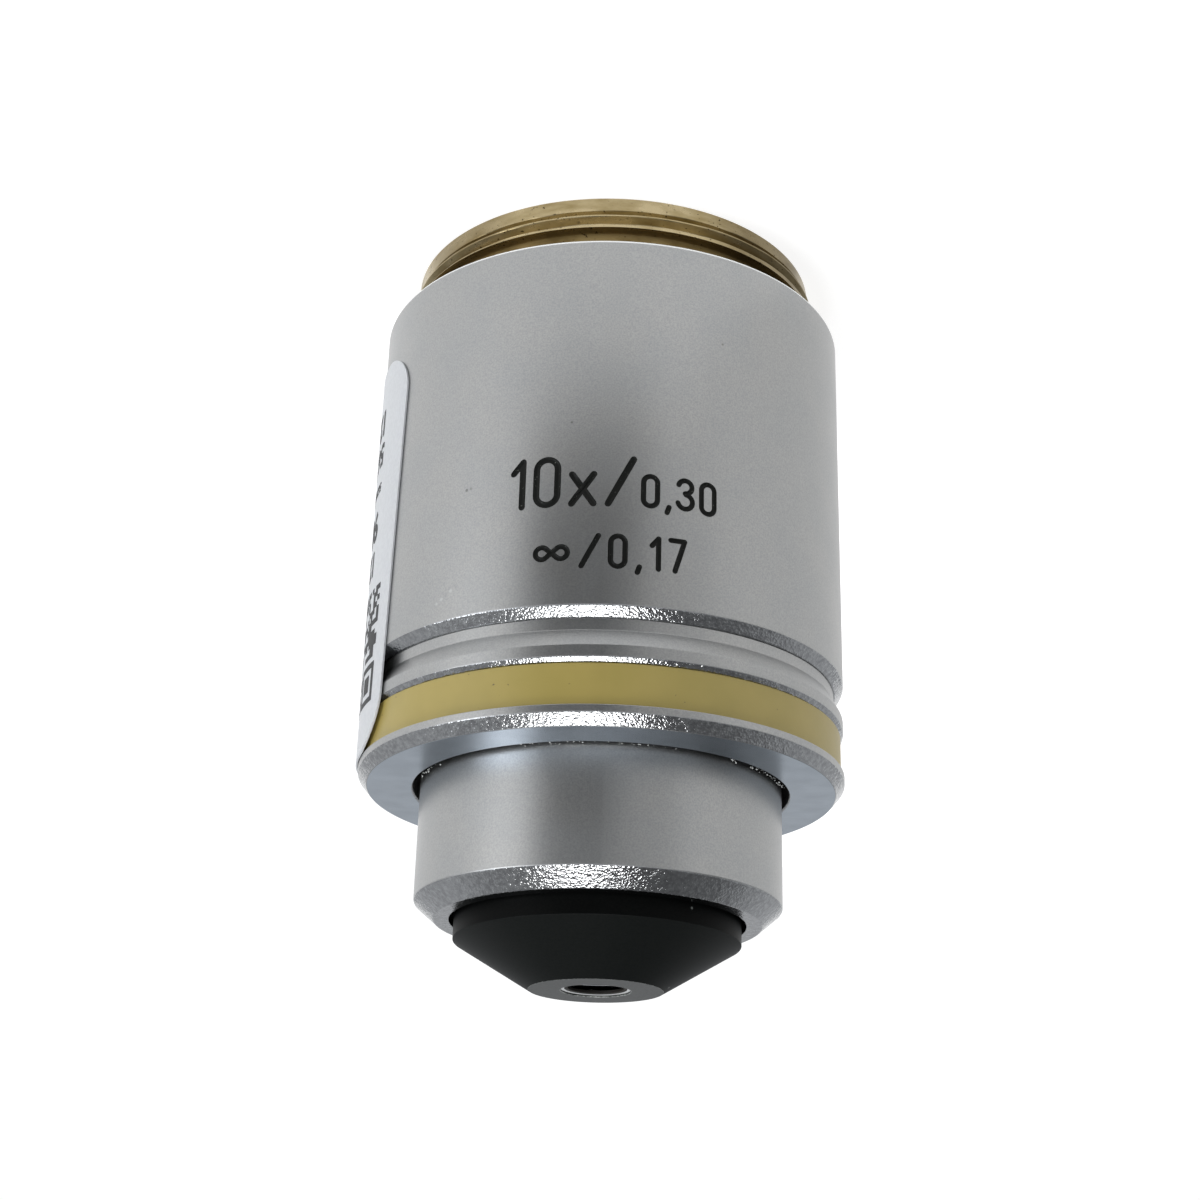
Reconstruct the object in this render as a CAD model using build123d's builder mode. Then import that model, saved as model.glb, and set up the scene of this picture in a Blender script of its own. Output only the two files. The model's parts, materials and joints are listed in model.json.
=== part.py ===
from build123d import *

import os
from math import copysign, cos, radians, sin, sqrt

os.makedirs("parts", exist_ok=True)

# A microscope objective that stands on its threaded end, nose up.
# The origin is the middle of the mounting shoulder, and +Z is the optical axis towards the specimen.
# Every length is in millimetres, every height is taken from the shoulder, and every radius of a
# turned piece is taken from the optical axis.

# Lens bore, from which the walls and clearances below build every other round size outwards
lens_bore_radius = 9.0
fit_clearance = 0.02
screw_clearance = 0.05
slide_clearance = 0.08
clamp_gap = 0.1

# Sliding nose: the lens tube with its guide flange, and the sleeve screwed over it
lens_tube_wall = 0.9
lens_tube_step = 0.4
nose_sleeve_wall = 0.9
nose_travel = 2.5
nose_reach = 8.03
nose_chamfer = 1.25
nose_chamfer_length = 1.06
nose_end_wall = 1.55
guide_flange_length = 4.0

# Body tube behind the outer sleeve
nose_gap = 0.44
stop_width = 0.61
collar_wall = 1.05
collar_step = 0.4
bore_step_height = 1.0

# Mounting thread, whose walls add up to M27 with a 0.75 pitch, and the shoulder that sets the focus
rear_bore_gap = 1.5
thread_wall = 2.1
thread_length = 4.2
thread_end_chamfer = 0.08
relief_depth = 0.55
relief_length = 1.6
relief_undercut = 0.3
undercut_margin = 0.1
shoulder_thickness = 2.0

# Outer sleeve
sleeve_wall = 1.4
sleeve_skirt = 0.5
sleeve_setback = 0.03
sleeve_length = 24.42
sleeve_rear_chamfer = 0.12
sleeve_front_chamfer = 0.53
sleeve_front_chamfer_length = 0.58

# Front barrel: neck, flare, lip, groove of the colour ring, lower lip and front face
neck_depth = 0.6
neck_length = 0.72
flare_length = 1.06
lip_step = 0.05
lip_length = 0.7
lip_chamfer = 0.3
lip_chamfer_length = 0.3
colour_ring_step = 0.23
colour_ring_thickness = 0.42
colour_ring_width = 2.5
lower_lip_step = 0.02
lower_lip_length = 0.45
front_chamfer = 0.58
front_chamfer_length = 0.67
front_hole_chamfer = 0.1
stop_wall = 2.2

# Black nose cone with the window of the front lens
cone_gap = 0.28
cone_shank_length = 1.15
cone_length = 2.79
cone_flat_share = 0.466
window_chamfer = 0.06
window_lip = 0.1
cone_collar_wall = 2.83
cone_collar_overhang = 0.6

# Bright ring round the front lens, and the front lens in its pocket
bezel_inner_radius = 1.7
bezel_show = 0.38
bezel_hold = 0.52
bezel_thickness = 0.25
bezel_slope = 0.08
front_lens_hold = 0.6
front_lens_edge = 2.2
front_lens_curve_shares = (3.75, 1.62)

# Lens groups: each is a list of glass faces from the front back, as radii of curvature that are
# shares of the glass's own rim. A positive one is a bowl that opens towards the nose, and a
# negative one is a dome towards it. The thinnest place of each glass, at its rim or its middle,
# is given beside them, and the wall is what the cell leaves round the glass.
second_lens_wall = 1.05
second_lens_curve_shares = (2.9, 2.2)
second_lens_thinnest = (0.9,)
front_doublet_wall = 2.08
front_doublet_curve_shares = (-4.3, 2.25, -8.6)
front_doublet_thinnest = (0.8, 1.2)
triplet_wall = 1.28
triplet_curve_shares = (-2.9, 3.2, -2.8, 4.4)
triplet_thinnest = (0.8, 1.1, 0.8)
middle_doublet_wall = 1.08
middle_doublet_curve_shares = (-3.4, 2.8, 9.0)
middle_doublet_thinnest = (0.8, 1.2)
rear_doublet_wall = 1.08
rear_doublet_curve_shares = (2.8, -5.6, 2.9)
rear_doublet_thinnest = (1.3, 0.9)

# Lens cells and the rings that hold glass and cells
seat_width = 0.5
seat_thickness = 0.55
retainer_width = 0.55
retainer_thickness = 0.55
vertex_clearance = 0.25
air_spacer_length = 1.4
spacer_wall = 0.9
lock_ring_width = 1.28
lock_ring_thickness = 1.5
lock_ring_setback = 0.3
spanner_slot_width = 1.0
spanner_slot_depth = 0.6

# Return spring and the ring that it stands on
spring_seat_thickness = 2.4
spring_wire_radius = 0.42
spring_turns = 6

# Guide screw, whose point runs in a groove of the flange
guide_screw_radius = 1.0
guide_point_radius = 0.72
guide_point_reach = 1.0
guide_groove_floor = 0.15

# Glare stop in the rear opening
glare_stop_setback = 0.8
glare_stop_thickness = 1.0
glare_stop_width = 3.38
glare_stop_bevel = 0.5
rear_end_gap = 0.6

# Stock label stuck along one side
label_width = 20.5
label_height = 26.2
label_corner = 3.2
label_thickness = 0.12
label_low_edge = 3.35
label_angle = 11
label_tilt = 1.7

# One overrun serves every cut
overrun = 1.0

# Radii worked out from the sizes above, from the lens bore outwards
cell_radius = lens_bore_radius - fit_clearance
cone_radius = lens_bore_radius - cone_gap
cone_flat_radius = cone_radius * cone_flat_share
lens_tube_radius = lens_bore_radius + lens_tube_wall
lens_tube_front_radius = lens_tube_radius + lens_tube_step
nose_sleeve_radius = lens_tube_front_radius + nose_sleeve_wall
front_hole_radius = nose_sleeve_radius + nose_gap
main_bore_radius = front_hole_radius + stop_width
collar_thread_radius = main_bore_radius + collar_wall
body_tube_radius = collar_thread_radius + collar_step
sleeve_radius = body_tube_radius + sleeve_wall
shoulder_radius = sleeve_radius - sleeve_skirt
rear_bore_radius = lens_tube_radius + rear_bore_gap
thread_radius = rear_bore_radius + thread_wall
relief_radius = thread_radius - relief_depth
glare_stop_inner_radius = rear_bore_radius - glare_stop_width
neck_radius = sleeve_radius - neck_depth
lip_radius = sleeve_radius - lip_step
colour_ring_radius = sleeve_radius - colour_ring_step
groove_radius = colour_ring_radius - colour_ring_thickness
lower_lip_radius = sleeve_radius - lower_lip_step
window_radius = bezel_inner_radius + bezel_show
bezel_radius = window_radius + bezel_hold
front_lens_rim = bezel_radius + front_lens_hold
second_cell_radius = cone_radius - cone_collar_wall - fit_clearance
second_lens_rim = second_cell_radius - fit_clearance - second_lens_wall
spring_mean_radius = (lens_tube_radius + main_bore_radius) / 2

# Heights worked out from the sizes above, from the shoulder towards the nose
sleeve_end = sleeve_length
neck_end = sleeve_end + neck_length
flare_end = neck_end + flare_length
lip_end = flare_end + lip_length
groove_low = lip_end + lip_chamfer_length
groove_high = groove_low + colour_ring_width
lower_lip_end = groove_high + lower_lip_length
front_face = lower_lip_end + front_chamfer_length
stop_face = front_face - stop_wall
flange_back = stop_face - guide_flange_length
nose_sleeve_end = front_face + nose_reach
lens_tube_front = nose_sleeve_end - nose_end_wall - clamp_gap
cone_start = nose_sleeve_end + cone_shank_length
cone_face = cone_start + cone_length
bezel_low = cone_face - window_lip - bezel_thickness
spring_seat = bore_step_height + spring_seat_thickness
glare_stop_low = glare_stop_setback - thread_length
glare_stop_high = glare_stop_low + glare_stop_thickness
lens_tube_back = glare_stop_high + nose_travel + rear_end_gap
guide_screw_height = stop_face - nose_travel - guide_point_radius - fit_clearance


def finish(piece, name):
    """Label a finished piece and write it to its own file."""
    piece.label = name
    export_step(piece, f"parts/{name}.step")


def sag(curve, reach):
    """How far a spherical face of that curvature has risen at this distance from the axis."""
    return copysign(abs(curve) - sqrt(curve**2 - reach**2), curve)


# Mount body: one brass turning with the thread, the shoulder and the body tube
with BuildPart() as mount_body:
    with BuildSketch(Plane.XZ):
        with BuildLine():
            Polyline(
                (rear_bore_radius, -thread_length),
                (thread_radius - thread_end_chamfer, -thread_length),
                (thread_radius, -thread_length + thread_end_chamfer),
                (thread_radius, -relief_length),
                (relief_radius, -relief_length),
                (relief_radius, relief_undercut),
                (thread_radius + undercut_margin, relief_undercut),
                (thread_radius + undercut_margin, 0),
                (shoulder_radius, 0),
                (shoulder_radius, shoulder_thickness),
                (body_tube_radius, shoulder_thickness),
                (body_tube_radius, sleeve_end - clamp_gap),
                (collar_thread_radius, sleeve_end - clamp_gap),
                (collar_thread_radius, stop_face - clamp_gap),
                (main_bore_radius, stop_face - clamp_gap),
                (main_bore_radius, bore_step_height),
                (rear_bore_radius, bore_step_height),
                close=True,
            )
        make_face()
    revolve(axis=Axis.Z)
    with BuildSketch(Plane.XZ):
        with Locations((0, guide_screw_height)):
            Circle(guide_screw_radius + fit_clearance)
    extrude(amount=-(collar_thread_radius + overrun), mode=Mode.SUBTRACT)
finish(mount_body.part, "mount_body")

# Outer sleeve: slides over the body tube and is clamped against the shoulder
with BuildPart() as outer_sleeve:
    with BuildSketch(Plane.XZ):
        with BuildLine():
            Polyline(
                (shoulder_radius + fit_clearance, sleeve_setback),
                (sleeve_radius - sleeve_rear_chamfer, sleeve_setback),
                (sleeve_radius, sleeve_setback + sleeve_rear_chamfer),
                (sleeve_radius, sleeve_end - sleeve_front_chamfer_length),
                (sleeve_radius - sleeve_front_chamfer, sleeve_end),
                (body_tube_radius + fit_clearance, sleeve_end),
                (body_tube_radius + fit_clearance, shoulder_thickness),
                (shoulder_radius + fit_clearance, shoulder_thickness),
                close=True,
            )
        make_face()
    revolve(axis=Axis.Z)
finish(outer_sleeve.part, "outer_sleeve")

# Front barrel: screws over the body tube, carries the colour ring and stops the sliding nose
with BuildPart() as front_barrel:
    with BuildSketch(Plane.XZ):
        with BuildLine():
            Polyline(
                (collar_thread_radius + screw_clearance, sleeve_end),
                (neck_radius, sleeve_end),
                (neck_radius, neck_end),
                (lip_radius, flare_end),
                (lip_radius, lip_end),
                (lip_radius - lip_chamfer, groove_low),
                (groove_radius, groove_low),
                (groove_radius, groove_high),
                (lower_lip_radius, groove_high),
                (lower_lip_radius, lower_lip_end),
                (lower_lip_radius - front_chamfer, front_face),
                (front_hole_radius + front_hole_chamfer, front_face),
                (front_hole_radius, front_face - front_hole_chamfer),
                (front_hole_radius, stop_face),
                (collar_thread_radius + screw_clearance, stop_face),
                close=True,
            )
        make_face()
    revolve(axis=Axis.Z)
finish(front_barrel.part, "front_barrel")

# Colour ring: the lacquered band that tells the magnification
with BuildPart() as magnification_ring:
    with BuildSketch(Plane.XY.offset(groove_low)):
        Circle(colour_ring_radius)
        Circle(groove_radius + fit_clearance, mode=Mode.SUBTRACT)
    extrude(amount=colour_ring_width)
finish(magnification_ring.part, "magnification_ring")

# Spring seat: screwed down on the step of the bore, and the rear guide of the lens tube
with BuildPart() as spring_seat_ring:
    with BuildSketch(Plane.XY.offset(bore_step_height)):
        Circle(main_bore_radius - fit_clearance)
        Circle(lens_tube_radius + slide_clearance, mode=Mode.SUBTRACT)
    extrude(amount=spring_seat_thickness)
    with BuildSketch(Plane.XY.offset(spring_seat)):
        Rectangle(main_bore_radius * 2, spanner_slot_width)
    extrude(amount=-spanner_slot_depth, mode=Mode.SUBTRACT)
finish(spring_seat_ring.part, "spring_seat_ring")

# Glare stop: a thin black ring in the rear opening, bevelled away from the light
with BuildPart() as rear_glare_stop:
    with BuildSketch(Plane.XZ):
        with BuildLine():
            Polyline(
                (glare_stop_inner_radius, glare_stop_high),
                (glare_stop_inner_radius, glare_stop_high - glare_stop_bevel),
                (glare_stop_inner_radius + glare_stop_bevel, glare_stop_low),
                (rear_bore_radius - fit_clearance, glare_stop_low),
                (rear_bore_radius - fit_clearance, glare_stop_high),
                close=True,
            )
        make_face()
    revolve(axis=Axis.Z)
    with BuildSketch(Plane.XY.offset(glare_stop_low)):
        Rectangle(rear_bore_radius * 2, spanner_slot_width)
    extrude(amount=spanner_slot_depth, mode=Mode.SUBTRACT)
finish(rear_glare_stop.part, "rear_glare_stop")

# Guide screw: a grub screw in the body tube whose point keeps the nose from turning
with BuildPart() as guide_screw:
    with BuildSketch(Plane.XZ.offset(-main_bore_radius)):
        with Locations((0, guide_screw_height)):
            Circle(guide_screw_radius)
    extrude(amount=-(collar_thread_radius - main_bore_radius - clamp_gap))
    with BuildSketch(Plane.XZ.offset(-main_bore_radius)):
        with Locations((0, guide_screw_height)):
            Circle(guide_point_radius)
    extrude(amount=guide_point_reach)
finish(guide_screw.part, "guide_screw")

# Return spring: ground flat at both ends, between its seat and the guide flange
spring_length = flange_back - spring_seat
with BuildPart() as return_spring:
    with BuildLine() as spring_path:
        Helix(
            pitch=(spring_length + spring_wire_radius) / spring_turns,
            height=spring_length + spring_wire_radius,
            radius=spring_mean_radius,
            center=(0, 0, spring_seat - spring_wire_radius / 2),
        )
    with BuildSketch(Plane(origin=spring_path.line @ 0, z_dir=spring_path.line % 0)):
        Circle(spring_wire_radius)
    sweep(is_frenet=True)
    split(bisect_by=Plane.XY.offset(spring_seat), keep=Keep.TOP)
    split(bisect_by=Plane.XY.offset(flange_back), keep=Keep.BOTTOM)
finish(return_spring.part, "return_spring")

# Stock label: a thin sticker that lies round the sleeve and bridges the neck
label_radius = sleeve_radius + fit_clearance
label_direction = (cos(radians(label_angle)), sin(radians(label_angle)), 0)
label_sideways = (-sin(radians(label_angle)), cos(radians(label_angle)), 0)
label_middle = (0, 0, label_low_edge + label_height / 2)
with BuildPart() as stock_label:
    with BuildSketch():
        Circle(label_radius + label_thickness)
        Circle(label_radius, mode=Mode.SUBTRACT)
    extrude(amount=front_face)
    with BuildSketch(Plane(origin=label_middle, x_dir=label_sideways, z_dir=label_direction)):
        RectangleRounded(label_width, label_height, label_corner, rotation=-label_tilt)
    extrude(amount=label_radius + overrun, mode=Mode.INTERSECT)
finish(stock_label.part, "stock_label")

# Lens tube: the sliding part that holds every cell, with its guide flange and groove
with BuildPart() as lens_tube:
    with BuildSketch(Plane.XZ):
        with BuildLine():
            Polyline(
                (lens_bore_radius, lens_tube_back),
                (lens_tube_radius, lens_tube_back),
                (lens_tube_radius, flange_back),
                (main_bore_radius - slide_clearance, flange_back),
                (main_bore_radius - slide_clearance, stop_face),
                (lens_tube_front_radius, stop_face),
                (lens_tube_front_radius, lens_tube_front),
                (lens_bore_radius, lens_tube_front),
                close=True,
            )
        make_face()
    revolve(axis=Axis.Z)
    groove_depth = guide_point_reach + guide_groove_floor
    with BuildSketch(Plane.XY.offset(flange_back)):
        with Locations((0, main_bore_radius - groove_depth / 2)):
            Rectangle((guide_point_radius + slide_clearance) * 2, groove_depth)
    extrude(amount=guide_flange_length, mode=Mode.SUBTRACT)
finish(lens_tube.part, "lens_tube")

# Nose sleeve: the satin cover that is screwed over the front of the lens tube
with BuildPart() as nose_sleeve:
    with BuildSketch(Plane.XZ):
        with BuildLine():
            Polyline(
                (lens_tube_front_radius + fit_clearance, stop_face),
                (nose_sleeve_radius, stop_face),
                (nose_sleeve_radius, nose_sleeve_end - nose_chamfer_length),
                (nose_sleeve_radius - nose_chamfer, nose_sleeve_end),
                (lens_bore_radius, nose_sleeve_end),
                (lens_bore_radius, nose_sleeve_end - nose_end_wall),
                (lens_tube_front_radius + fit_clearance, nose_sleeve_end - nose_end_wall),
                close=True,
            )
        make_face()
    revolve(axis=Axis.Z)
finish(nose_sleeve.part, "nose_sleeve")


def curves_of(curve_shares, rim):
    """Radii of curvature of a glass's faces, worked out from its rim."""
    return [share * rim for share in curve_shares]


def lens_heights(rim, curves, thinnest, front_height):
    """Heights of the faces' middles, from the front face back."""
    heights = [front_height]
    for front_curve, back_curve, least in zip(curves, curves[1:], thinnest):
        pinch = min(0, sag(front_curve, rim) - sag(back_curve, rim))
        heights.append(heights[-1] - least + pinch)
    return heights


def make_lens(name, rim, front_curve, back_curve, front_height, back_height):
    """One glass element, between two spherical faces and a ground rim."""
    half_rim = rim / 2
    with BuildPart() as glass:
        with BuildSketch(Plane.XZ):
            with BuildLine():
                front = ThreePointArc(
                    (0, front_height),
                    (half_rim, front_height + sag(front_curve, half_rim)),
                    (rim, front_height + sag(front_curve, rim)),
                )
                back = ThreePointArc(
                    (0, back_height),
                    (half_rim, back_height + sag(back_curve, half_rim)),
                    (rim, back_height + sag(back_curve, rim)),
                )
                Line(front @ 1, back @ 1)
                Line(back @ 0, front @ 0)
            make_face()
        revolve(axis=Axis.Z)
    finish(glass.part, name)


def make_ring(name, inner_radius, outer_radius, low, high):
    """A plain turned ring between two heights."""
    with BuildPart() as ring:
        with BuildSketch(Plane.XY.offset(low)):
            Circle(outer_radius)
            Circle(inner_radius, mode=Mode.SUBTRACT)
        extrude(amount=high - low)
    finish(ring.part, name)


def make_group(group, names, rim, curve_shares, thinnest, outer_radius, ceiling):
    """Glasses cemented together, their cell with its seat, and the ring that holds them in it.

    The cell's front end is at the ceiling, and the height of its back end is returned."""
    curves = curves_of(curve_shares, rim)
    seat_radius = rim - seat_width
    retainer_radius = rim - retainer_width
    front_rise = max(sag(curves[0], retainer_radius), sag(curves[0], rim))
    front_top = max(0, sag(curves[0], rim))
    front_height = ceiling - max(front_rise + retainer_thickness, front_top + vertex_clearance)
    heights = lens_heights(rim, curves, thinnest, front_height)
    for index, name in enumerate(names):
        make_lens(name, rim, curves[index], curves[index + 1], heights[index], heights[index + 1])

    seat = heights[-1] + min(sag(curves[-1], seat_radius), sag(curves[-1], rim))
    back_low = heights[-1] + min(0, sag(curves[-1], rim))
    floor = min(seat - seat_thickness, back_low - vertex_clearance)
    pocket_radius = rim + fit_clearance
    with BuildPart() as cell:
        with BuildSketch(Plane.XZ):
            with BuildLine():
                Polyline(
                    (seat_radius, floor),
                    (outer_radius, floor),
                    (outer_radius, ceiling),
                    (pocket_radius, ceiling),
                    (pocket_radius, seat),
                    (seat_radius, seat),
                    close=True,
                )
            make_face()
        revolve(axis=Axis.Z)
    finish(cell.part, f"{group}_cell")
    retainer_low = front_height + front_rise
    make_ring(f"{group}_retainer", retainer_radius, rim, retainer_low, retainer_low + retainer_thickness)
    return floor


# Front lens: its rim stands against the step of the nose cone, held by a ring from behind
front_lens_curves = curves_of(front_lens_curve_shares, front_lens_rim)
front_lens_front = bezel_low - sag(front_lens_curves[0], front_lens_rim)
front_lens_back = lens_heights(front_lens_rim, front_lens_curves, (front_lens_edge,), front_lens_front)[-1]
make_lens("front_lens", front_lens_rim, *front_lens_curves, front_lens_front, front_lens_back)
front_retainer_radius = front_lens_rim - retainer_width
front_retainer_high = front_lens_back + sag(front_lens_curves[-1], front_retainer_radius)
front_retainer_low = front_retainer_high - retainer_thickness
make_ring(
    "front_lens_retainer",
    front_retainer_radius,
    front_lens_rim,
    front_retainer_low,
    front_retainer_high,
)

# Second lens: in its own small cell, locked into the back of the nose cone
cell_seat = min(front_retainer_low, front_lens_back) - vertex_clearance
second_cell_low = make_group(
    "second_lens",
    ("second_lens",),
    second_lens_rim,
    second_lens_curve_shares,
    second_lens_thinnest,
    second_cell_radius,
    cell_seat,
)
second_lock_low = second_cell_low - retainer_thickness
make_ring(
    "second_cell_lock_ring",
    second_lens_rim - seat_width,
    second_cell_radius,
    second_lock_low,
    second_cell_low,
)
cone_collar_back = second_lock_low - cone_collar_overhang

# Nose cone: screwed into the lens tube, with stepped pockets for the two front lenses
with BuildPart() as nose_cone:
    with BuildSketch(Plane.XZ):
        with BuildLine():
            Polyline(
                (second_cell_radius + fit_clearance, cone_collar_back),
                (cell_radius, cone_collar_back),
                (cell_radius, lens_tube_front),
                (cone_radius, lens_tube_front),
                (cone_radius, cone_start),
                (cone_flat_radius, cone_face),
                (window_radius + window_chamfer, cone_face),
                (window_radius, cone_face - window_chamfer),
                (window_radius, cone_face - window_lip),
                (bezel_radius + fit_clearance, cone_face - window_lip),
                (bezel_radius + fit_clearance, bezel_low),
                (front_lens_rim + fit_clearance, bezel_low),
                (front_lens_rim + fit_clearance, cell_seat),
                (second_cell_radius + fit_clearance, cell_seat),
                close=True,
            )
        make_face()
    revolve(axis=Axis.Z)
finish(nose_cone.part, "nose_cone")

# Front bezel: the bright ring that shows round the front lens, dished towards the glass
with BuildPart() as front_bezel:
    with BuildSketch(Plane.XZ):
        with BuildLine():
            Polyline(
                (bezel_inner_radius, bezel_low),
                (bezel_radius, bezel_low),
                (bezel_radius, bezel_low + bezel_thickness),
                (window_radius, bezel_low + bezel_thickness),
                (bezel_inner_radius, bezel_low + bezel_thickness - bezel_slope),
                close=True,
            )
        make_face()
    revolve(axis=Axis.Z)
finish(front_bezel.part, "front_bezel")

# Lens train: four cells in a row behind the nose cone, closed by a spacer and a lock ring
front_doublet_low = make_group(
    "front_doublet",
    ("front_doublet_crown", "front_doublet_flint"),
    cell_radius - fit_clearance - front_doublet_wall,
    front_doublet_curve_shares,
    front_doublet_thinnest,
    cell_radius,
    cone_collar_back,
)
triplet_low = make_group(
    "triplet",
    ("triplet_front_crown", "triplet_flint", "triplet_rear_crown"),
    cell_radius - fit_clearance - triplet_wall,
    triplet_curve_shares,
    triplet_thinnest,
    cell_radius,
    front_doublet_low,
)
middle_doublet_low = make_group(
    "middle_doublet",
    ("middle_doublet_crown", "middle_doublet_flint"),
    cell_radius - fit_clearance - middle_doublet_wall,
    middle_doublet_curve_shares,
    middle_doublet_thinnest,
    cell_radius,
    triplet_low,
)
make_ring(
    "air_spacer",
    cell_radius - spacer_wall,
    cell_radius,
    middle_doublet_low - air_spacer_length,
    middle_doublet_low,
)
rear_doublet_low = make_group(
    "rear_doublet",
    ("rear_doublet_flint", "rear_doublet_crown"),
    cell_radius - fit_clearance - rear_doublet_wall,
    rear_doublet_curve_shares,
    rear_doublet_thinnest,
    cell_radius,
    middle_doublet_low - air_spacer_length,
)
lock_ring_low = lens_tube_back + lock_ring_setback
lock_ring_high = lock_ring_low + lock_ring_thickness
make_ring("closing_spacer", cell_radius - spacer_wall, cell_radius, lock_ring_high, rear_doublet_low)

# Lens lock ring: screwed in behind the train, with two slots for a spanner
with BuildPart() as lens_lock_ring:
    with BuildSketch(Plane.XY.offset(lock_ring_low)):
        Circle(cell_radius)
        Circle(cell_radius - lock_ring_width, mode=Mode.SUBTRACT)
    extrude(amount=lock_ring_thickness)
    with BuildSketch(Plane.XY.offset(lock_ring_low)):
        Rectangle(spanner_slot_width, cell_radius * 2)
    extrude(amount=spanner_slot_depth, mode=Mode.SUBTRACT)
finish(lens_lock_ring.part, "lens_lock_ring")
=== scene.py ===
import json
import random
from math import atan2, cos, degrees, radians, sin, sqrt

import bpy
from mathutils import Matrix, Vector

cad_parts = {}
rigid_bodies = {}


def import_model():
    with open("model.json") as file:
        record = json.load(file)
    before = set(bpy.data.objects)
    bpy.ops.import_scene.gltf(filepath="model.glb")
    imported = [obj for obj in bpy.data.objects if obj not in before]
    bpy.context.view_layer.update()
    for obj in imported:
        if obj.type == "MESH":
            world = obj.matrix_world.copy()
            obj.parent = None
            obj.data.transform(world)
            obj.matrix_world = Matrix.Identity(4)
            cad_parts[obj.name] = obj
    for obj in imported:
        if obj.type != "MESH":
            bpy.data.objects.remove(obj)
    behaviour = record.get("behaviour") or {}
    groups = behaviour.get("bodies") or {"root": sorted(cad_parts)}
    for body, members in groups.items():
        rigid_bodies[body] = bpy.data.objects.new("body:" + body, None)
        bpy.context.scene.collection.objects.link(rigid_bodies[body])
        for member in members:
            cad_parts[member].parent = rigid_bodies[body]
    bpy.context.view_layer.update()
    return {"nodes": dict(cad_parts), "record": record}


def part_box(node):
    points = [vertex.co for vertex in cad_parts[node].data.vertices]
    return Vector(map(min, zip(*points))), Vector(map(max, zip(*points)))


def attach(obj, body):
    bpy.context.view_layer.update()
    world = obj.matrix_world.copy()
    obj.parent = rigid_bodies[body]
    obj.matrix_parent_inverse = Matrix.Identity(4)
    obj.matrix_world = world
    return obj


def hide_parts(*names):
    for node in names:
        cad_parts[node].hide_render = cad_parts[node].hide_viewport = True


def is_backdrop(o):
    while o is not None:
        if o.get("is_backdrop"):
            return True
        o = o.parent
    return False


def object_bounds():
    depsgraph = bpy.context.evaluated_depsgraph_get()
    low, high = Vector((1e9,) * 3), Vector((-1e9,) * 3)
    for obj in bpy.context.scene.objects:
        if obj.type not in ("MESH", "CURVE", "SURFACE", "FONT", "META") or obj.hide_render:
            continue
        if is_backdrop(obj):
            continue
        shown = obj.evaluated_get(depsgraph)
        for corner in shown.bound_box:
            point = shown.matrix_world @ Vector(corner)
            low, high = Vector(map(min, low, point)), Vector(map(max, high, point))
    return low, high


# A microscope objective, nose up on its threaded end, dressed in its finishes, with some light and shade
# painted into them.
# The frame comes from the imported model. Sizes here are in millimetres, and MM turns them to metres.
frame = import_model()
MM = 0.001
NODES = frame["nodes"]


def top(node):
    """Height of a CAD node's front end, in millimetres."""
    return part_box(node)[1].z / MM


def foot(node):
    """Height of a CAD node's rear end, in millimetres."""
    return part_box(node)[0].z / MM


def girth(node):
    """Outer radius of a turned CAD node, in millimetres."""
    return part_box(node)[1].x / MM


# Sizes that every piece below is built from, in millimetres
SEGMENTS = 288
FINE_SEGMENTS = 480  # where the outline shows large, or the engraving cuts in
WINDOW_SEGMENTS = 160
FIT = 0.02
THREAD_RADIUS = 13.5
THREAD_END = foot("mount_body")
THREAD_PITCH = 0.75
THREAD_CHAMFER = 0.08
RELIEF_RADIUS = 12.95
SLEEVE_RADIUS = girth("outer_sleeve")
SLEEVE_FOOT = 0.03
SLEEVE_END = top("outer_sleeve")
BARREL_FACE = top("front_barrel")
RING_LOW = foot("magnification_ring")
RING_HIGH = top("magnification_ring")
RING_RADIUS = girth("magnification_ring")
NECK_RADIUS = 14.5
NOSE_RADIUS = girth("nose_sleeve")
NOSE_END = top("nose_sleeve")
NOSE_FOOT = foot("nose_sleeve")
CONE_FACE = top("nose_cone")
ONE_RADIUS = 0.004
STOP_FACE = NOSE_FOOT
FLOOR = THREAD_END
SLEEVE_SEAT = 14.6
SLEEVE_BORE = 13.7
SEAT_LEDGE = 2.0
BODY_BORE = 13.3
GUIDE_BORE = girth("lens_tube") + 0.08
REAR_BORE = girth("rear_glare_stop") + FIT
REAR_BORE_END = foot("spring_seat_ring")


def colour(code):
    """Linear colour from an sRGB hex value."""
    parts = [int(code[i : i + 2], 16) / 255 for i in (1, 3, 5)]
    return [p / 12.92 if p <= 0.04045 else ((p + 0.055) / 1.055) ** 2.4 for p in parts] + [1.0]


def add(tree, kind, settings=None, inputs=None):
    """A node with its settings, its sockets' values and its links."""
    node = tree.nodes.new(kind)
    for name, value in (settings or {}).items():
        setattr(node, name, value)
    for socket, value in (inputs or {}).items():
        if isinstance(value, bpy.types.NodeSocket):
            tree.links.new(value, node.inputs[socket])
        else:
            node.inputs[socket].default_value = value
    return node


def material(name):
    """An empty material with its output, and the Object coordinates that patterns read."""
    made = bpy.data.materials.new(name)
    made.use_nodes = True
    tree = made.node_tree
    tree.nodes.clear()
    place = add(tree, "ShaderNodeTexCoord").outputs["Object"]
    return made, tree, place


def surface(tree, **inputs):
    """The shader of a finish, on the material's output."""
    names = {key: key.replace("_", " ") for key in inputs}
    shader = add(tree, "ShaderNodeBsdfPrincipled", None, {names[k]: v for k, v in inputs.items()})
    add(tree, "ShaderNodeOutputMaterial", None, {"Surface": shader.outputs[0]})
    return shader


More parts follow.
